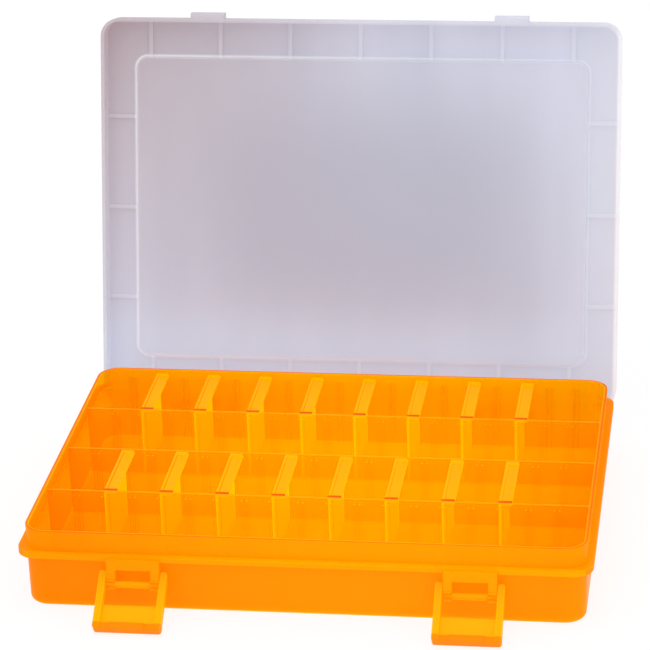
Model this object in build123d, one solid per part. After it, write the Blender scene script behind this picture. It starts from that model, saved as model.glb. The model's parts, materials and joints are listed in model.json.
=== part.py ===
from build123d import *
from math import asin, atan, cos, degrees, hypot, radians, sin, tan
import os

# Lure box with an orange tray, a clear lid hinged at the back, two latches on the front
# and lift-out dividers. Millimetres, +Z up, the front faces -Y, and the origin lies at
# the middle of the tray's flat bottom. It is drawn as it stands open: lid leaning back,
# latches hanging forward with their tips just above the table.

# Lid and ledge outline
lid_width = 255.0
lid_depth = 188.0
lid_corner_radius = 9.0

# Tray
tray_height = 37.0
tray_wall = 1.6
tray_floor = 1.6
mould_draft = 0.8
rim_inset = 2.85
rim_corner_radius = 10.0
rim_rise = 9.3
ledge_thickness = 2.7
bottom_edge_radius = 2.5
row_count = 4
partition_thickness = 1.4
partition_drop = 1.45
partition_corner_radius = 1.5

# Slots for the dividers: two low ribs beside each divider's end
slot_count = 18
slot_end_margin = 14.08
slot_rib_width = 0.7
slot_rib_height = 0.9
slot_rib_drop = 2.3
slot_clearance = 0.15

# Dividers
divider_row_count = 2
dividers_per_row = 8
divider_thickness = 1.3
divider_end_clearance = 0.3
divider_floor_clearance = 0.2
flange_width = 6.0
flange_thickness = 1.2
flange_drop = 0.5
flange_lip = 1.8

# Lid
skirt_thickness = 1.6
lid_plate = 1.5
lid_edge_radius = 1.6
lid_rest_gap = 0.15
lid_rib_height = 1.2
lid_rib_width = 2.0
lid_ribs_across = 7
lid_rib_pitch_across = 34.7
lid_rib_pitch_along = 45.1
panel_side_margin = 15.7
panel_end_margin = 19.0
panel_corner_radius = 6.0
panel_drop = 2.5
panel_slope = 12.0

# Snap-in pivots, shared by the latches and the lid's hinges
pivot_end_distance = 53.1
fork_width = 30.4
fork_arm_width = 3.1
fork_side_clearance = 0.35
pin_radius = 1.1
pin_running_clearance = 0.05
bar_radius = 1.5
bar_width = 15.3
bar_side_clearance = 0.25
jaw_radius = 2.4
jaw_half_mouth = 60.0
jaw_hood_rise = 6.4
jaw_hood_setback = 1.0

# Hinge at the back
hinge_reach = 0.4
hinge_below_ledge = 7.0
hinge_arm_depth = 4.0
hinge_arm_inset = 1.8
hinge_arm_rise = 17.0
hinge_notch_clearance = 0.4
lid_open_angle = 103.4
heel_depth = 2.2
heel_gap = 0.15

# Latches at the front
latch_reach = 3.0
latch_below_ledge = 9.7
latch_length = 22.5
latch_tail = 5.5
latch_plate_start = 10.3
latch_plate = 2.0
latch_outer_depth = 2.3
latch_inner_depth = 2.6
latch_lip_length = 3.0
latch_lip_side_setback = 0.8
latch_corner_radius = 1.4
latch_edge_bevel = 0.4
latch_tip_gap = 0.2
hook_clearance = 0.15

# Tabs on the lid's front edge
tab_width = 16.5
tab_reach = 3.0
tab_lead = 1.2

# Worked out from the sizes above
rim_width = lid_width - 2 * rim_inset
rim_depth = lid_depth - 2 * rim_inset
inner_width = rim_width - 2 * tray_wall
inner_depth = rim_depth - 2 * tray_wall
ledge_top = tray_height - rim_rise
ledge_bottom = ledge_top - ledge_thickness
partition_top = tray_height - partition_drop
draft_ratio = tan(radians(mould_draft))
row_width = (inner_depth - (row_count - 1) * partition_thickness) / row_count
row_pitch = row_width + partition_thickness
divider_rows = range(0, row_count, row_count // divider_row_count)
slot_pitch = (inner_width - 2 * slot_end_margin) / (slot_count - 1)
slots_per_divider = slot_count // (dividers_per_row + 1)
slot_width = divider_thickness + 2 * slot_clearance
slot_rib_top = partition_top - slot_rib_drop

rib_underside = tray_height + lid_rest_gap
plate_underside = rib_underside + lid_rib_height
lid_top = plate_underside + lid_plate
skirt_bottom = ledge_top + lid_rest_gap
panel_underside = plate_underside - panel_drop
panel_width = lid_width - 2 * panel_side_margin
panel_depth = lid_depth - 2 * panel_end_margin

fork_inner_width = fork_width - 2 * fork_arm_width
bracket_width = fork_inner_width - 2 * fork_side_clearance
jaw_bore = pin_radius + pin_running_clearance
pivot_places = (pivot_end_distance - lid_width / 2, lid_width / 2 - pivot_end_distance)
hinge_y = lid_depth / 2 + hinge_reach
hinge_height = ledge_bottom - hinge_below_ledge
latch_y = -lid_depth / 2 - latch_reach
latch_height = ledge_bottom - latch_below_ledge

tab_top = latch_height + latch_length - latch_lip_length - hook_clearance
latch_tip_reach = hypot(latch_length, latch_outer_depth)
latch_tip_drop = min(latch_height - latch_tip_gap, latch_tip_reach)
latch_rest_drop = degrees(
    asin(latch_tip_drop / latch_tip_reach) - atan(latch_outer_depth / latch_length)
)
latch_open_angle = 90.0 + latch_rest_drop

# A cut runs this far past the surface that it opens, so that no skin is left
overrun = 1.0


def block(x_range, y_range, z_range):
    """A plain block between the given limits."""
    corner = Pos(x_range[0], y_range[0], z_range[0])
    size = [limits[1] - limits[0] for limits in (x_range, y_range, z_range)]
    return corner * Box(*size, align=(Align.MIN, Align.MIN, Align.MIN))


def rounded_prism(width, depth, radius, z_low, z_high):
    """An upright prism with rounded corners."""
    return extrude(Pos(0, 0, z_low) * RectangleRounded(width, depth, radius), z_high - z_low)


def drafted_prism(width, depth, radius, z_low, z_high, ratio):
    """A rounded prism of the given size at z_high, which narrows downwards."""
    run = (z_high - z_low) * ratio
    low = Pos(0, 0, z_low) * RectangleRounded(width - 2 * run, depth - 2 * run, radius - run)
    high = Pos(0, 0, z_high) * RectangleRounded(width, depth, radius)
    return loft([low, high], ruled=True)


def side_profile(points, x_low, x_high):
    """An outline of (y, z) points, carried along X between two places."""
    face = make_face(Polyline([Vector(x_low, y, z) for y, z in points], close=True))
    return extrude(face, x_high - x_low, dir=(1, 0, 0))


def rod(radius, x_low, x_high, y, z):
    """A round bar along X."""
    return Pos(x_low, y, z) * extrude(Plane.YZ * Circle(radius), x_high - x_low)


def draft_run(z):
    """How far a drafted face has moved into its row at height z, against its top."""
    return (tray_height - z) * draft_ratio


def wall_outside(z):
    """Distance from the middle to the outside of the front or back wall at height z."""
    return rim_depth / 2 - draft_run(z)


def row_middle(row):
    """The middle of a row, counted from the back."""
    return (row_count - 1 - 2 * row) * row_pitch / 2


def slot_place(slot):
    """Where a slot lies along X, counted from the left."""
    return (slot - (slot_count - 1) / 2) * slot_pitch


def partitions():
    """The fixed walls between the rows, thicker at the foot."""
    half_length = inner_width / 2 + (tray_wall - draft_run(0)) / 2
    half_top = partition_thickness / 2 + draft_run(partition_top)
    half_foot = partition_thickness / 2 + draft_run(tray_floor)
    walls = []
    for row in range(row_count - 1):
        y = row_middle(row) - row_pitch / 2
        outline = [
            (y - half_foot, tray_floor / 2),
            (y + half_foot, tray_floor / 2),
            (y + half_top, partition_top),
            (y - half_top, partition_top),
        ]
        walls.append(side_profile(outline, -half_length, half_length))
    return walls


def slot_ribs():
    """Pairs of low ribs on both long sides of every row, one pair to a slot."""
    ribs = []
    offset = (slot_width + slot_rib_width) / 2
    low = tray_floor / 2
    for row in range(row_count):
        for side in (-1, 1):
            root = row_width / 2 + partition_thickness / 4
            crest = row_width / 2 - slot_rib_height
            y = row_middle(row)
            outline = [
                (y + side * (root - draft_run(low)), low),
                (y + side * (crest - draft_run(low)), low),
                (y + side * (crest - draft_run(slot_rib_top)), slot_rib_top),
                (y + side * (root - draft_run(slot_rib_top)), slot_rib_top),
            ]
            rib = side_profile(outline, -slot_rib_width / 2, slot_rib_width / 2)
            for slot in range(slot_count):
                for hand in (-1, 1):
                    ribs.append(Pos(slot_place(slot) + hand * offset, 0, 0) * rib)
    return ribs


def pivot_bracket(x, y, z, outward):
    """Two snap-in jaws under a hood, on the outside of the front or back wall.

    outward is -1 on the front and +1 on the back. The jaws open outwards over less than
    half a turn, so a pin that is pushed in stays in.
    """
    root = outward * (wall_outside(z) - tray_wall / 2)
    foot = z - jaw_radius
    half_width = bracket_width / 2
    hood_face = y - outward * jaw_hood_setback
    hood = block(
        (x - half_width, x + half_width),
        sorted((root, hood_face)),
        (z + jaw_hood_rise, ledge_top - ledge_thickness / 2),
    )
    cheek = [(root, foot), (y, foot), (y, z + jaw_radius), (hood_face, z + jaw_hood_rise)]
    cheek += [(hood_face, ledge_bottom), (root, ledge_bottom)]
    mouth_reach = 2 * jaw_radius
    mouth_rise = mouth_reach * tan(radians(jaw_half_mouth))
    mouth = [(y, z)]
    mouth += [(y + outward * mouth_reach, z + rise) for rise in (-mouth_rise, mouth_rise)]
    bracket = hood
    jaw_inner = bar_width / 2 + bar_side_clearance
    for low, high in ((-half_width, -jaw_inner), (jaw_inner, half_width)):
        jaw = side_profile(cheek, x + low, x + high) + rod(jaw_radius, x + low, x + high, y, z)
        jaw -= rod(jaw_bore, x + low - overrun, x + high + overrun, y, z)
        jaw -= side_profile(mouth, x + low - overrun, x + high + overrun)
        bracket += jaw
    return bracket


def hinge_notches():
    """Cuts in the back of the ledge that let the lid's hinge arms pass."""
    inner = hinge_y - hinge_arm_inset - hinge_notch_clearance
    limits_y = (inner, lid_depth / 2 + overrun)
    limits_z = (ledge_bottom - overrun, ledge_top + overrun)
    cuts = []
    for x in pivot_places:
        for side in (-1, 1):
            near = x + side * (fork_inner_width / 2 - hinge_notch_clearance)
            far = x + side * (fork_width / 2 + hinge_notch_clearance)
            cuts.append(block(sorted((near, far)), limits_y, limits_z))
    return cuts


def make_tray():
    """The one-piece tray: walls, floor, ledge, partitions, slots and pivot brackets."""
    body = drafted_prism(rim_width, rim_depth, rim_corner_radius, 0, tray_height, draft_ratio)
    body = fillet(body.edges().group_by(Axis.Z)[0], bottom_edge_radius)
    body += rounded_prism(lid_width, lid_depth, lid_corner_radius, ledge_bottom, ledge_top)
    hollow = drafted_prism(
        inner_width, inner_depth, rim_corner_radius - tray_wall,
        tray_floor, tray_height, draft_ratio,
    )
    body -= hollow
    body += partitions()
    corners = [
        edge
        for edge in body.edges().filter_by(GeomType.LINE)
        if edge.length > partition_top / 2
        and abs(edge.tangent_at(0).Z) > abs(edge.tangent_at(0).X) + abs(edge.tangent_at(0).Y)
        and inner_width / 2 - row_width / 2 < abs(edge.center().X) < inner_width / 2
        and abs(edge.center().Y) < inner_depth / 2 - row_width / 2
    ]
    body = fillet(corners, partition_corner_radius)
    brackets = [pivot_bracket(x, latch_y, latch_height, -1) for x in pivot_places]
    brackets += [pivot_bracket(x, hinge_y, hinge_height, 1) for x in pivot_places]
    body += brackets + slot_ribs()
    return body - hinge_notches()


def make_divider():
    """A lift-out divider at the middle of its row: a tapered plate with a flange on top.

    The flange lies a little lower than the plate's edge, between a lip at each end.
    """
    left = -divider_thickness / 2
    flange_top = partition_top - flange_drop

    def slab(z_low, width):
        half_low = row_width / 2 - draft_run(z_low) - divider_end_clearance
        half_high = row_width / 2 - draft_run(partition_top) - divider_end_clearance
        outline = [(-half_low, z_low), (half_low, z_low)]
        outline += [(half_high, partition_top), (-half_high, partition_top)]
        return side_profile(outline, left, left + width)

    plate = slab(tray_floor + divider_floor_clearance, divider_thickness)
    flange = slab(flange_top - flange_thickness, flange_width)
    half_pocket = row_width / 2 - draft_run(partition_top) - divider_end_clearance - flange_lip
    pocket = block(
        (left + divider_thickness, left + flange_width + overrun),
        (-half_pocket, half_pocket),
        (flange_top, partition_top + overrun),
    )
    return plate + flange - pocket


def fork_arms(make_arm, x):
    """A left and a right arm, where make_arm(low, high) makes one between two places."""
    outer = fork_width / 2
    inner = fork_inner_width / 2
    return [make_arm(x - outer, x - inner), make_arm(x + inner, x + outer)]


def pivot_bar(x, y, z):
    """The bar between two arms: thin where the jaws hold it, thicker between them."""
    reach = fork_inner_width / 2 + fork_arm_width / 2
    return rod(pin_radius, x - reach, x + reach, y, z) + rod(
        bar_radius, x - bar_width / 2, x + bar_width / 2, y, z
    )


def hinge_arm(low, high):
    """One hinge arm of the closed lid, with the heel that stops the lid when it is open."""
    inner = hinge_y - hinge_arm_inset
    outer = inner + hinge_arm_depth
    root = lid_depth / 2 - skirt_thickness / 2
    top = hinge_height + hinge_arm_rise
    slope_start = top - (outer - root)
    outline = [(inner, hinge_height), (outer, hinge_height), (outer, slope_start), (root, top)]
    outline += [(root, skirt_bottom + skirt_thickness), (inner, skirt_bottom)]
    arm = side_profile(outline, low, high)
    arm += rod(hinge_arm_inset, low, high, hinge_y, hinge_height)
    heel_length = hinge_y - wall_outside(hinge_height) - heel_gap
    heel = [(0, 0), (-heel_length, 0), (-heel_length, -heel_depth), (0, -heel_depth)]
    turn = radians(lid_open_angle)
    turned = [
        (hinge_y + y * cos(turn) - z * sin(turn), hinge_height + y * sin(turn) + z * cos(turn))
        for y, z in heel
    ]
    return arm + side_profile(turned, low, high)


def make_lid():
    """The lid, closed: skirt, plate with a sunk panel, ribs, tabs and hinge arms."""
    lid = rounded_prism(lid_width, lid_depth, lid_corner_radius, skirt_bottom, lid_top)
    lid = fillet(lid.edges().group_by(Axis.Z)[-1], lid_edge_radius)
    inside_width = lid_width - 2 * skirt_thickness
    inside_depth = lid_depth - 2 * skirt_thickness
    lid -= rounded_prism(
        inside_width, inside_depth, lid_corner_radius - skirt_thickness,
        skirt_bottom, plate_underside,
    )
    slope = tan(radians(panel_slope))
    lid += drafted_prism(
        panel_width, panel_depth, panel_corner_radius,
        panel_underside, plate_underside + lid_plate / 2, slope,
    )
    inset = 2 * lid_plate
    lid -= drafted_prism(
        panel_width - inset, panel_depth - inset, panel_corner_radius - lid_plate,
        lid_top - panel_drop, lid_top, slope,
    )
    ribs = []
    panel_foot = panel_drop * slope
    for side in (-1, 1):
        ends = sorted((
            side * (panel_depth / 2 - panel_foot),
            side * (inside_depth / 2 + skirt_thickness / 2),
        ))
        for place in range(lid_ribs_across):
            x = (place - (lid_ribs_across - 1) / 2) * lid_rib_pitch_across
            across = (x - lid_rib_width / 2, x + lid_rib_width / 2)
            ribs.append(block(across, ends, (rib_underside, plate_underside + lid_plate / 2)))
        ends = sorted((
            side * (panel_width / 2 - panel_foot),
            side * (inside_width / 2 + skirt_thickness / 2),
        ))
        for place in (-1, 0, 1):
            y = place * lid_rib_pitch_along
            along = (y - lid_rib_width / 2, y + lid_rib_width / 2)
            ribs.append(block(ends, along, (rib_underside, plate_underside + lid_plate / 2)))
    tabs = []
    front = -lid_depth / 2
    tab = [(front + skirt_thickness / 2, skirt_bottom), (front - tab_reach + tab_lead, skirt_bottom)]
    tab += [(front - tab_reach, skirt_bottom + tab_lead), (front - tab_reach, tab_top)]
    tab.append((front + skirt_thickness / 2, tab_top))
    hinges = []
    for x in pivot_places:
        tabs.append(side_profile(tab, x - tab_width / 2, x + tab_width / 2))
        hinges += fork_arms(hinge_arm, x)
        hinges.append(pivot_bar(x, hinge_y, hinge_height))
    return lid + ribs + tabs + hinges


def latch_arm(low, high):
    """One arm of the closed latch, upright in front of the lid's skirt."""
    arm = block(
        (low, high),
        (latch_y - latch_outer_depth, latch_y + latch_inner_depth),
        (latch_height - latch_tail, latch_height + latch_length),
    )
    outer_edges = arm.edges().filter_by(Axis.Z).group_by(Axis.Y)[0]
    inner_edges = arm.edges().filter_by(Axis.Z).group_by(Axis.Y)[-1]
    arm = chamfer(outer_edges + inner_edges, latch_edge_bevel)
    tail = fork_arm_width / 2 - latch_edge_bevel
    along_y = arm.edges().filter_by(Axis.Y)
    return fillet(along_y.group_by(Axis.Z)[0], tail)


def make_latch(x):
    """The latch, closed: two arms, the pivot bar, a plate and the lip that hooks the tab."""
    outer_face = latch_y - latch_outer_depth
    plate_face = outer_face + latch_plate
    tip = latch_height + latch_length
    lip_foot = tip - latch_lip_length
    lip_face = latch_y + latch_inner_depth
    half_inner = fork_inner_width / 2 + fork_arm_width / 2
    plate = block(
        (x - half_inner, x + half_inner),
        (outer_face, plate_face),
        (latch_height + latch_plate_start, tip),
    )
    side_lip = block(
        (x - half_inner, x + half_inner),
        (outer_face, lip_face - latch_lip_side_setback),
        (lip_foot, tip),
    )
    lip = block(
        (x - bar_width / 2, x + bar_width / 2),
        (outer_face, lip_face),
        (lip_foot, tip),
    )
    body = plate + side_lip + lip + fork_arms(latch_arm, x)
    tip_edges = body.edges().filter_by(Axis.Y).group_by(Axis.Z)[-1]
    ends = tip_edges.sort_by(Axis.X)
    body = fillet([ends[0], ends[-1]], latch_corner_radius)
    return body + pivot_bar(x, latch_y, latch_height)


def turned_open(part, y, z, angle):
    """A piece turned about a pivot along X, where a positive angle tips its top forward."""
    return Pos(0, y, z) * Rot(angle, 0, 0) * Pos(0, -y, -z) * part


os.makedirs("parts", exist_ok=True)
export_step(make_tray(), "parts/tray.step")
export_step(turned_open(make_lid(), hinge_y, hinge_height, -lid_open_angle), "parts/lid.step")
for name, x in zip(("latch_left", "latch_right"), pivot_places):
    latch = turned_open(make_latch(x), latch_y, latch_height, latch_open_angle)
    export_step(latch, f"parts/{name}.step")
divider = make_divider()
for row in divider_rows:
    for number in range(dividers_per_row):
        slot = (number + 1) * slots_per_divider - 1
        placed = Pos(slot_place(slot), row_middle(row), 0) * divider
        export_step(placed, f"parts/divider_row{row + 1}_{number + 1}.step")
print("latch opens by", round(latch_open_angle, 2), "degrees, row width", round(row_width, 3))
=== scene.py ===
import json
from math import radians

import bpy
from mathutils import Matrix, Vector

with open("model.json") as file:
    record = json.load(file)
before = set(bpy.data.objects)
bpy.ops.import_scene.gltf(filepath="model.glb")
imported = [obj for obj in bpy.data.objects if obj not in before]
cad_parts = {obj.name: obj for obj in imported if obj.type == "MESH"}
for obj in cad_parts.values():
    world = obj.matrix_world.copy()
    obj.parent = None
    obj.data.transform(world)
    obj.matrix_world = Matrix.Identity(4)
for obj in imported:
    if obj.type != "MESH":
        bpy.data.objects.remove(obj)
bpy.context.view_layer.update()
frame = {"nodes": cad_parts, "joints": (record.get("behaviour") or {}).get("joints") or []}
joints = {joint["name"]: joint for joint in frame["joints"]}

# Camera, from the straight edges of the photograph. Metres and degrees, and millimetres for
# the lens and the sensor.
camera_target = Vector((0.00056, 0.0, 0.10076))
camera_distance = 1.44163
camera_azimuth = 8.351
camera_elevation = 22.588
camera_roll = -1.834
camera_lens = 175.716
sensor_width = 36.0

# Light crosses many walls of the box before it is spent
light_bounces = 48
see_through_bounces = 64

# Studio. Places and sizes are metres, strengths of lamps are watts. The floor is part glow
# and part matt paint, with one share of glow where it is seen and another as a light.
floor_size = 8.0
floor_drop = 0.0002
floor_paint = "fafafa"
floor_seen_glow = 0.85
floor_light_glow = 0.7
full_white = (1.0, 1.0, 1.0, 1.0)
soft_boxes = {
    "key": {"place": Vector((-1.2, -1.6, 2.2)), "size": 1.6, "strength": 6.0},
    "fill": {"place": Vector((1.8, -1.0, 1.4)), "size": 2.0, "strength": 3.0},
    "top": {"place": Vector((0.0, -0.3, 2.2)), "size": 1.2, "strength": 6.0},
}

# Moulded plastic, with widths and heights in metres. The mould's grain is finer than this on
# the real box and is drawn as coarse as it needs to show. The waves are those of walls that
# shrink as they cool.
polypropylene_ior = 1.49
specular_level = 0.08
surface_roughness = 0.22
roughness_spread = 0.04
grain_width = 0.0011
grain_detail = 3.0
wave_width = 0.0167
wave_detail = 1.0
wave_height = 0.0004
wave_strength = 0.1

# Colours come in three pairs: what a wall reflects, what glows through it, and the tint of
# what is seen through it. Each pair runs from one shade of the plastic to the other. Where
# the tray sits between them carries painted light and shade, and the dividers' second
# colours are painted shade.
tray_colours = (("ff7800", "ffe000"), ("ffa000", "fff400"), ("ffc000", "fff800"))
divider_colours = (("ffca00", "e07000"), ("ffec00", "e88000"), ("fff400", "f09000"))
latch_colours = (("ffc800", "ffa400"), ("ffdc00", "ffb800"), ("ffe800", "ffc800"))

# The tray's shade, from 0 for deep to 1 for pale, with what zones add to it or take away.
# The inner walls are paler partly because they are thinner and partly as painted light; the rim,
# the brackets, the right of the outer walls and the rear rows get painted light, and the top
# edges and the ends get painted shade.
outer_shade_left = 0.24
outer_shade_right = 0.38
rim_painted_light = 0.25
inner_shade = 0.84
rim_edge_painted_shade = 0.38
partition_edge_painted_shade = 0.14
bracket_painted_light = 0.25
end_painted_shade = 0.31
rear_painted_light = 0.08

# Zones of the tray: the inner surfaces, within a round-cornered rectangle
inner_half_width = 0.1238
inner_half_depth = 0.0903
inner_corner = 0.0092
inner_softness = 0.0003

# Further zones: above the ledge, the top edges, the brackets, and the depth of the back wall
ledge_height = 0.027
top_edge_height = 0.03
bracket_start = 0.0918
rear_wall_start = 0.087
rear_wall_end = 0.09

# The painted light on the inner walls is brightest here along X, and painted shade grows
# towards their ends
light_pool_middle = 0.005
light_pool_reach = 0.16

# Painted light makes the two rear rows paler than the front ones, from here to here along Y
rear_start = 0.0
rear_end = 0.07

# Zones of the dividers: the flange's underside, below which the plate has a painted glow,
# and the front lips of the two divided rows, which take painted shade
flange_height = 0.035
lip_start = -0.0442
lip_depth = 0.0018
divider_row_distance = 0.09025

# Where the lip of a latch starts, seen as if the latch were shut
latch_lip_height = 0.0348

# Strengths of the painted glow on a divider's sides and on a latch's bevels, which stands
# for light that runs along inside the plastic and leaves it there. The ends of a divider's
# plate glow so many times as brightly as its sides.
divider_painted_glow = 0.4
divider_end_glow = 3.0
latch_painted_glow = 0.3

# How much of the view passes straight through a wall, and how much of the rest glows
outer_see_share = 0.15
rim_see_share = 0.45
inner_see_share = 0.76
floor_see_share = 0.3
divider_see_share = 0.3
latch_see_share = 0.2
lid_see_share = 0.4
rib_see_share = 0.2
tray_glow_share = 0.5
amber_glow_share = 0.5
lid_glow_share = 0.4

# Shares of a normal along an axis: a level face, a square one, and a bevel between two limits.
# No share reaches the last value, so it bounds nothing.
level_share = 0.8
square_share = 0.9
bevel_share = 0.5
beyond_any_share = 1.1

# Zones of the lid, seen as if it were shut: the underside of its plate, its sunk panel with
# the line of the step round it, and the middle, which takes a painted grey reflection
lid_plate_height = 0.0382
panel_half_width = 0.1118
panel_half_depth = 0.075
panel_corner = 0.006
panel_line = 0.0007
line_softness = 0.0006
centre_half_width = 0.088
centre_half_depth = 0.06
centre_corner = 0.05
centre_softness = 0.045

# Stretches of the lid where a colour comes in, from its start to its full strength
warm_across = (0.02, -0.13)
warm_along = (0.06, -0.09)
cool_along = (0.045, 0.09)
pale_across = (0.1, 0.125)
skirt_across = (0.1245, 0.1265)

# The lid's colours: its milky white, a painted grey reflection, a cool white, painted light
# for the right border, painted shade in warm grey and a painted highlight white; then the
# strength of that highlight on its ribs and on the step round its panel
milky_white = "eaecf6"
reflection_grey = "d2d4e0"
cool_white = "e6edf8"
lit_border_white = "eceef6"
shade_warm_grey = "d6cbd0"
highlight_white = "fcfcfe"
rib_highlight = 0.24
step_highlight_left = 0.95
step_highlight_right = 0.4

# Painted grey reflection in streaks on the lid, drawn out from its hinge to its front, and
# in its middle
streak_width = 0.0357
streak_detail = 2.0
streak_stretch = 0.18
streak_low = 0.35
streak_high = 0.65
streak_spread = 0.35
centre_grey = 0.85

# A height in metres that no piece reaches
any_height = 1.0

# Sockets of a mix of colours, which share their names with those of a mix of numbers
mix_share = 0
mix_first = 6
mix_second = 7
mix_colour = 2


def linear(hex_colour):
    """An sRGB colour such as "ff8c00" as linear red, green, blue and an alpha of 1."""
    channels = [int(hex_colour[i:i + 2], 16) / 255 for i in (0, 2, 4)]
    return [c / 12.92 if c <= 0.04045 else ((c + 0.055) / 1.055) ** 2.4 for c in channels] + [1.0]


def add(tree, kind, inputs=None, **settings):
    """Adds a node. An input takes a number or colour, or is linked from a node or socket."""
    node = tree.nodes.new(kind)
    for name, value in settings.items():
        setattr(node, name, value)
    for key, value in (inputs or {}).items():
        source = value.outputs[0] if isinstance(value, bpy.types.Node) else value
        if isinstance(source, bpy.types.NodeSocket):
            tree.links.new(source, node.inputs[key])
        else:
            node.inputs[key].default_value = source
    return node


def new_material(name):
    """An empty material with its output node."""
    material = bpy.data.materials.new(name)
    material.use_nodes = True
    material.node_tree.nodes.clear()
    output = add(material.node_tree, "ShaderNodeOutputMaterial")
    return material, material.node_tree, output


def within(tree, place, half_x, half_y, softness, corner):
    """1 where a place lies inside a round-cornered rectangle about the origin, softly bordered.

    It goes by the distance to a rectangle that is smaller by the corner's radius.
    """
    sizes = add(tree, "ShaderNodeVectorMath", {0: place}, operation="ABSOLUTE")
    straight = (half_x - corner, half_y - corner, any_height)
    beyond = add(tree, "ShaderNodeVectorMath", {0: sizes, 1: straight}, operation="SUBTRACT")
    outside = add(tree, "ShaderNodeVectorMath", {0: beyond}, operation="MAXIMUM")
    reach = add(tree, "ShaderNodeVectorMath", {0: outside}, operation="LENGTH")
    return add(tree, "ShaderNodeMapRange", {
        "Value": reach.outputs["Value"],
        "From Min": corner - softness,
        "From Max": corner + softness,
        "To Min": 1.0,
        "To Max": 0.0,
    }, interpolation_type="SMOOTHSTEP")


def when_shut(tree, place, joint):
    """A place on a hinged piece, turned to where it is with the piece shut.

    Lid and latches are shut at the low end of their range.
    """
    shut_angle = radians(joint["range_deg"][0])
    return add(tree, "ShaderNodeVectorRotate", {
        "Vector": place,
        "Center": joint["pos_m"],
        "Angle": shut_angle * joint["axis"][0],
    }, rotation_type="X_AXIS").outputs[0]


def facing(tree, axis, low, high=beyond_any_share):
    """1 on faces whose normal's share along an axis lies between two limits."""
    normal = add(tree, "ShaderNodeTexCoord").outputs["Normal"]
    along = add(tree, "ShaderNodeSeparateXYZ", {0: normal}).outputs[axis]
    share = add(tree, "ShaderNodeMath", {0: along}, operation="ABSOLUTE")
    middle = (low + high) / 2
    return add(tree, "ShaderNodeMath", {0: share, 1: middle, 2: high - middle}, operation="COMPARE")


def shades(tree, colours, shade):
    """The colours of a layered plastic, each at the same shade between the two of its pair."""
    return [
        add(tree, "ShaderNodeMix", {
            mix_share: shade,
            mix_first: linear(first),
            mix_second: linear(second),
        }, data_type="RGBA").outputs[mix_colour]
        for first, second in colours
    ]


def layered_plastic(tree, output, place, colours, see_share, glow_share, painted_glow=0.0):
    """A thin moulded wall: soft gloss outside, cloudy glow inside, and partly seen through.

    The last argument is the strength of a painted glow, which stands for light that has run
    along inside the plastic and leaves it here.
    """
    face, inside, tint = colours
    grain = add(tree, "ShaderNodeTexNoise", {
        "Vector": place,
        "Scale": 1 / grain_width,
        "Detail": grain_detail,
    })
    roughness = add(tree, "ShaderNodeMapRange", {
        "Value": grain,
        "To Min": surface_roughness - roughness_spread,
        "To Max": surface_roughness + roughness_spread,
    })
    wave = add(tree, "ShaderNodeTexNoise", {
        "Vector": place,
        "Scale": 1 / wave_width,
        "Detail": wave_detail,
    })
    bump = add(tree, "ShaderNodeBump", {
        "Height": wave,
        "Strength": wave_strength,
        "Distance": wave_height,
    })
    surface = add(tree, "ShaderNodeBsdfPrincipled", {
        "Base Color": face,
        "Roughness": roughness,
        "IOR": polypropylene_ior,
        "Specular IOR Level": specular_level,
        "Normal": bump,
        "Emission Color": inside,
        "Emission Strength": painted_glow,
    })
    glow = add(tree, "ShaderNodeBsdfTranslucent", {"Color": inside, "Normal": bump})
    body = add(tree, "ShaderNodeMixShader", {0: glow_share, 1: surface, 2: glow})
    through = add(tree, "ShaderNodeBsdfTransparent", {"Color": tint})
    wall = add(tree, "ShaderNodeMixShader", {0: see_share, 1: body, 2: through})
    tree.links.new(wall.outputs[0], output.inputs["Surface"])


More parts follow.
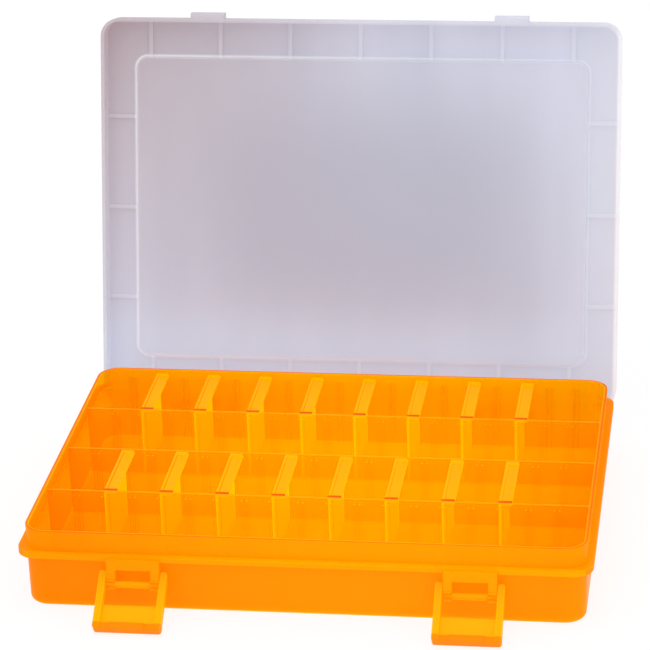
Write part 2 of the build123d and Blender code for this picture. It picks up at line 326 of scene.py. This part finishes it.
def orange_polypropylene():
    """The tray, moulded with orange pigment.

    It is deep orange in the outer walls, where little shows through, and pale and clearer
    between the inner ones, which are thinner and where the light comes in from all sides; that
    paleness is partly painted light. A pool of painted light lies in the middle, with painted
    shade towards the ends and on the top edges, and painted light on the rear rows, the rim,
    the right of the outer walls and the brackets.
    """
    material, tree, output = new_material("translucent_orange_polypropylene")
    place = add(tree, "ShaderNodeTexCoord").outputs["Object"]
    x, y, z = add(tree, "ShaderNodeSeparateXYZ", {0: place}).outputs
    inner = within(tree, place, inner_half_width, inner_half_depth, inner_softness, inner_corner)
    above = add(tree, "ShaderNodeMath", {0: z, 1: ledge_height}, operation="GREATER_THAN")
    level_face = facing(tree, "Z", level_share)

    # Painted shade towards the ends, and painted light towards the rear rows
    offset = add(tree, "ShaderNodeMath", {0: x, 1: light_pool_middle}, operation="SUBTRACT")
    away = add(tree, "ShaderNodeMath", {0: offset, 1: light_pool_reach}, operation="DIVIDE")
    fall = add(tree, "ShaderNodeMath", {0: away, 1: away}, operation="MULTIPLY")
    end_shade = add(tree, "ShaderNodeMath", {0: inner, 1: -end_painted_shade}, operation="MULTIPLY")
    rear = add(tree, "ShaderNodeMapRange", {
        "Value": y,
        "From Min": rear_start,
        "From Max": rear_end,
        "To Max": rear_painted_light,
    })

    # Painted shade on the top edges, on the rim more than on the partitions
    top = add(tree, "ShaderNodeMath", {0: z, 1: top_edge_height}, operation="GREATER_THAN")
    edge = add(tree, "ShaderNodeMath", {0: top, 1: level_face}, operation="MULTIPLY")
    edge_shade = add(tree, "ShaderNodeMapRange", {
        "Value": inner,
        "To Min": -rim_edge_painted_shade,
        "To Max": -partition_edge_painted_shade,
    })

    # Painted light on the brackets, which stand clear of the outer walls
    depth = add(tree, "ShaderNodeMath", {0: y}, operation="ABSOLUTE")
    bracket = add(tree, "ShaderNodeMath", {0: depth, 1: bracket_start}, operation="GREATER_THAN")

    # Painted light on the outer walls: a little paler to the right, and above the ledge at the
    # front
    outer = add(tree, "ShaderNodeMapRange", {
        "Value": x,
        "From Min": -inner_half_width,
        "From Max": inner_half_width,
        "To Min": outer_shade_left,
        "To Max": outer_shade_right,
    })
    rim_light = add(tree, "ShaderNodeMapRange", {
        "Value": y,
        "From Min": -inner_half_depth,
        "From Max": inner_half_depth,
        "To Min": rim_painted_light,
        "To Max": 0.0,
    })
    rim = add(tree, "ShaderNodeMath", {0: above, 1: rim_light, 2: outer}, operation="MULTIPLY_ADD")
    shade = add(tree, "ShaderNodeMix", {"Factor": inner, "A": rim, "B": inner_shade})
    for amount, share in (
        (fall, end_shade),
        (rear, inner),
        (edge, edge_shade),
        (bracket, bracket_painted_light),
    ):
        shade = add(tree, "ShaderNodeMath", {
            0: amount,
            1: share,
            2: shade,
        }, operation="MULTIPLY_ADD")

    # Seen through: little in the outer walls below the ledge and least at the back
    rear_wall = add(tree, "ShaderNodeMapRange", {
        "Value": y,
        "From Min": rear_wall_start,
        "From Max": rear_wall_end,
        "To Min": 1.0,
        "To Max": 0.0,
    })
    outer_see = add(tree, "ShaderNodeMapRange", {
        "Value": above,
        "To Min": outer_see_share,
        "To Max": rim_see_share,
    })
    inner_see = add(tree, "ShaderNodeMapRange", {
        "Value": level_face,
        "To Min": inner_see_share,
        "To Max": floor_see_share,
    })
    see = add(tree, "ShaderNodeMix", {"Factor": inner, "A": outer_see, "B": inner_see})
    seen = add(tree, "ShaderNodeMath", {0: see, 1: rear_wall}, operation="MULTIPLY")
    colours = shades(tree, tray_colours, shade)
    layered_plastic(tree, output, place, colours, seen, tray_glow_share)
    return material


def divider_polypropylene():
    """The dividers, moulded with less pigment, so they are yellower.

    Below the flange the plate's sides and ends have a painted glow, for light that runs down
    inside the plate and leaves it there. The lip at the flange's front end, and the step beside
    the flange, are painted shade.
    """
    material, tree, output = new_material("pale_amber_polypropylene")
    place = add(tree, "ShaderNodeTexCoord").outputs["Object"]
    _, y, z = add(tree, "ShaderNodeSeparateXYZ", {0: place}).outputs
    side = facing(tree, "X", square_share)
    end = facing(tree, "Y", square_share)
    below = add(tree, "ShaderNodeMath", {0: z, 1: flange_height}, operation="LESS_THAN")
    # Painted glow on the plate's sides and ends below the flange
    painted_glow = add(tree, "ShaderNodeMath", {
        0: end,
        1: divider_end_glow,
        2: side,
    }, operation="MULTIPLY_ADD")
    strength = add(tree, "ShaderNodeMath", {0: painted_glow, 1: divider_painted_glow}, operation="MULTIPLY")
    glow_below = add(tree, "ShaderNodeMath", {0: strength, 1: below}, operation="MULTIPLY")

    # Painted shade above the flange's underside, on the lip at the front and on the faces beside it
    from_lip = add(tree, "ShaderNodeMath", {0: y, 1: lip_start}, operation="SUBTRACT")
    along = add(tree, "ShaderNodeMath", {
        0: from_lip,
        1: divider_row_distance,
    }, operation="FLOORED_MODULO")
    lip = add(tree, "ShaderNodeMath", {0: along, 1: lip_depth}, operation="LESS_THAN")
    shade_zone = add(tree, "ShaderNodeMath", {0: lip, 1: side}, operation="MAXIMUM")
    high = add(tree, "ShaderNodeMath", {0: z, 1: flange_height}, operation="GREATER_THAN")
    deep = add(tree, "ShaderNodeMath", {0: shade_zone, 1: high}, operation="MULTIPLY")
    colours = shades(tree, divider_colours, deep)
    layered_plastic(tree, output, place, colours, divider_see_share, amber_glow_share, glow_below)
    return material


def latch_polypropylene():
    """The latches, amber too: a painted glow along the bevels of the arms, deeper in the
    thick lip.

    Both turn about one line, so the left one's pivot serves the right one too.
    """
    material, tree, output = new_material("amber_polypropylene")
    place = add(tree, "ShaderNodeTexCoord").outputs["Object"]
    own = when_shut(tree, place, joints["latch_left_pivot"])
    height = add(tree, "ShaderNodeSeparateXYZ", {0: own}).outputs["Z"]
    lip = add(tree, "ShaderNodeMath", {0: height, 1: latch_lip_height}, operation="GREATER_THAN")
    # Painted glow on the bevels of the arms
    bevel = add(tree, "ShaderNodeMath", {
        0: facing(tree, "X", bevel_share, square_share),
        1: latch_painted_glow,
    }, operation="MULTIPLY")
    colours = shades(tree, latch_colours, lip)
    layered_plastic(tree, output, place, colours, latch_see_share, amber_glow_share, bevel)
    return material


def natural_polypropylene():
    """The lid, moulded without pigment: milky, with a painted grey reflection in its middle and
    in streaks, painted light and shade towards its borders, and painted highlights on ribs and
    steps.
    """
    material, tree, output = new_material("natural_polypropylene")
    place = add(tree, "ShaderNodeTexCoord").outputs["Object"]
    own = when_shut(tree, place, joints["lid_hinge"])
    x, y, z = add(tree, "ShaderNodeSeparateXYZ", {0: own}).outputs

    # The panel, the line of the step round it, and the ribs between it and the skirt, which
    # take a painted highlight, on the step stronger to the left
    panel, outline = [
        within(
            tree, own, panel_half_width + line, panel_half_depth + line,
            line_softness, panel_corner + line,
        )
        for line in (-panel_line, panel_line)
    ]
    step = add(tree, "ShaderNodeMath", {0: outline, 1: panel}, operation="SUBTRACT", use_clamp=True)
    low = add(tree, "ShaderNodeMath", {0: z, 1: lid_plate_height}, operation="LESS_THAN")
    ribs = add(tree, "ShaderNodeMath", {0: low, 1: outline}, operation="SUBTRACT", use_clamp=True)
    highlight_across = add(tree, "ShaderNodeMapRange", {
        "Value": x,
        "From Min": panel_half_width,
        "From Max": -panel_half_width,
        "To Min": step_highlight_right,
        "To Max": step_highlight_left,
    })
    stepped = add(tree, "ShaderNodeMath", {0: step, 1: highlight_across}, operation="MULTIPLY")
    highlit_lines = add(tree, "ShaderNodeMath", {
        0: ribs,
        1: rib_highlight,
        2: stepped,
    }, operation="MULTIPLY_ADD")

    # Painted reflection: streaks of grey, and a greyer middle
    stretched = add(tree, "ShaderNodeMapping", {
        "Vector": own,
        "Scale": (1.0, streak_stretch, 1.0),
    })
    streak = add(tree, "ShaderNodeTexNoise", {
        "Vector": stretched,
        "Scale": 1 / streak_width,
        "Detail": streak_detail,
    })
    bands = add(tree, "ShaderNodeMapRange", {
        "Value": streak,
        "From Min": streak_low,
        "From Max": streak_high,
        "To Max": streak_spread,
    })
    centre = within(
        tree, own, centre_half_width, centre_half_depth, centre_softness, centre_corner,
    )
    grey = add(tree, "ShaderNodeMix", {"Factor": centre, "A": bands, "B": centre_grey})

    # Cool at the back, painted light at the right border, painted shade in warm grey at the
    # front left, and a painted highlight on the right side of the skirt, on the ribs and on the
    # step round the panel
    across, along, back, right, skirt = [
        add(tree, "ShaderNodeMapRange", {"Value": value, "From Min": start, "From Max": end})
        for value, (start, end) in (
            (x, warm_across),
            (y, warm_along),
            (y, cool_along),
            (x, pale_across),
            (x, skirt_across),
        )
    ]
    # Painted shade in warm grey towards the front left
    warm = add(tree, "ShaderNodeMath", {0: across, 1: along}, operation="MULTIPLY")
    face = linear(milky_white)
    for share, colour in (
        (grey, reflection_grey),
        (back, cool_white),
        (right, lit_border_white),
        (warm, shade_warm_grey),
        (skirt, highlight_white),
        (highlit_lines, highlight_white),
    ):
        face = add(tree, "ShaderNodeMix", {
            mix_share: share,
            mix_first: face,
            mix_second: linear(colour),
        }, data_type="RGBA").outputs[mix_colour]
    see = add(tree, "ShaderNodeMapRange", {
        "Value": highlit_lines,
        "To Min": lid_see_share,
        "To Max": rib_see_share,
    })
    layered_plastic(tree, output, place, (face, face, face), see, lid_glow_share)
    return material


def make_floor():
    """A plain white floor, which keeps the object's shadow.

    Gloss and clear plastic see it as white as the camera does the background.
    """
    half = floor_size / 2
    mesh = bpy.data.meshes.new("floor")
    corners = [(-half, -half), (half, -half), (half, half), (-half, half)]
    mesh.from_pydata([(x, y, -floor_drop) for x, y in corners], [], [(0, 1, 2, 3)])
    floor = bpy.data.objects.new("floor", mesh)
    bpy.context.scene.collection.objects.link(floor)
    material, tree, output = new_material("white_studio_floor")
    matt = add(tree, "ShaderNodeBsdfDiffuse", {"Color": linear(floor_paint)})
    glow = add(tree, "ShaderNodeEmission", {"Color": full_white, "Strength": 1.0})
    path = add(tree, "ShaderNodeLightPath")
    share = add(tree, "ShaderNodeMapRange", {
        "Value": path.outputs["Is Camera Ray"],
        "To Min": floor_light_glow,
        "To Max": floor_seen_glow,
    })
    for ray in ("Is Glossy Ray", "Is Transmission Ray"):
        share = add(tree, "ShaderNodeMath", {0: share, 1: path.outputs[ray]}, operation="MAXIMUM")
    paint = add(tree, "ShaderNodeMixShader", {0: share, 1: matt, 2: glow})
    tree.links.new(paint.outputs[0], output.inputs["Surface"])
    mesh.materials.append(material)


def make_world():
    """White all round, which is both the background and a soft light."""
    world = bpy.data.worlds.new("white_studio")
    bpy.context.scene.world = world
    world.use_nodes = True
    tree = world.node_tree
    tree.nodes.clear()
    output = add(tree, "ShaderNodeOutputWorld")
    white = add(tree, "ShaderNodeBackground", {"Color": full_white, "Strength": 1.0})
    tree.links.new(white.outputs[0], output.inputs["Surface"])


def make_soft_box(name, place, size, strength):
    """A square soft box aimed at the object."""
    lamp = bpy.data.lights.new(name, "AREA")
    lamp.shape = "SQUARE"
    lamp.size = size
    lamp.energy = strength
    holder = bpy.data.objects.new(name, lamp)
    holder.location = place
    holder.rotation_euler = (camera_target - place).to_track_quat("-Z", "Y").to_euler()
    bpy.context.scene.collection.objects.link(holder)


def make_camera():
    """The photograph's camera."""
    data = bpy.data.cameras.new("camera")
    data.lens = camera_lens
    data.sensor_width = sensor_width
    camera = bpy.data.objects.new("camera", data)
    turn = (
        Matrix.Rotation(radians(camera_azimuth), 3, "Z")
        @ Matrix.Rotation(radians(90 - camera_elevation), 3, "X")
        @ Matrix.Rotation(radians(camera_roll), 3, "Z")
    )
    forward = turn @ Vector((0, 0, -1))
    camera.matrix_world = Matrix.LocRotScale(
        camera_target - camera_distance * forward, turn.to_quaternion(), None
    )
    bpy.context.scene.collection.objects.link(camera)
    bpy.context.scene.camera = camera


latch_amber = latch_polypropylene()
finishes = {
    "tray": orange_polypropylene(),
    "lid": natural_polypropylene(),
    "latch_left": latch_amber,
    "latch_right": latch_amber,
}

# Every other node is a divider
divider_amber = divider_polypropylene()
for node, piece in frame["nodes"].items():
    for slot in piece.material_slots:
        slot.material = finishes.get(node, divider_amber)

make_floor()
make_world()
for name, box in soft_boxes.items():
    make_soft_box(name, **box)
make_camera()

cycles = bpy.context.scene.cycles
for path in ("max_bounces", "diffuse_bounces", "glossy_bounces", "transmission_bounces"):
    setattr(cycles, path, light_bounces)
cycles.transparent_max_bounces = see_through_bounces
bpy.context.scene.view_settings.view_transform = "Standard"
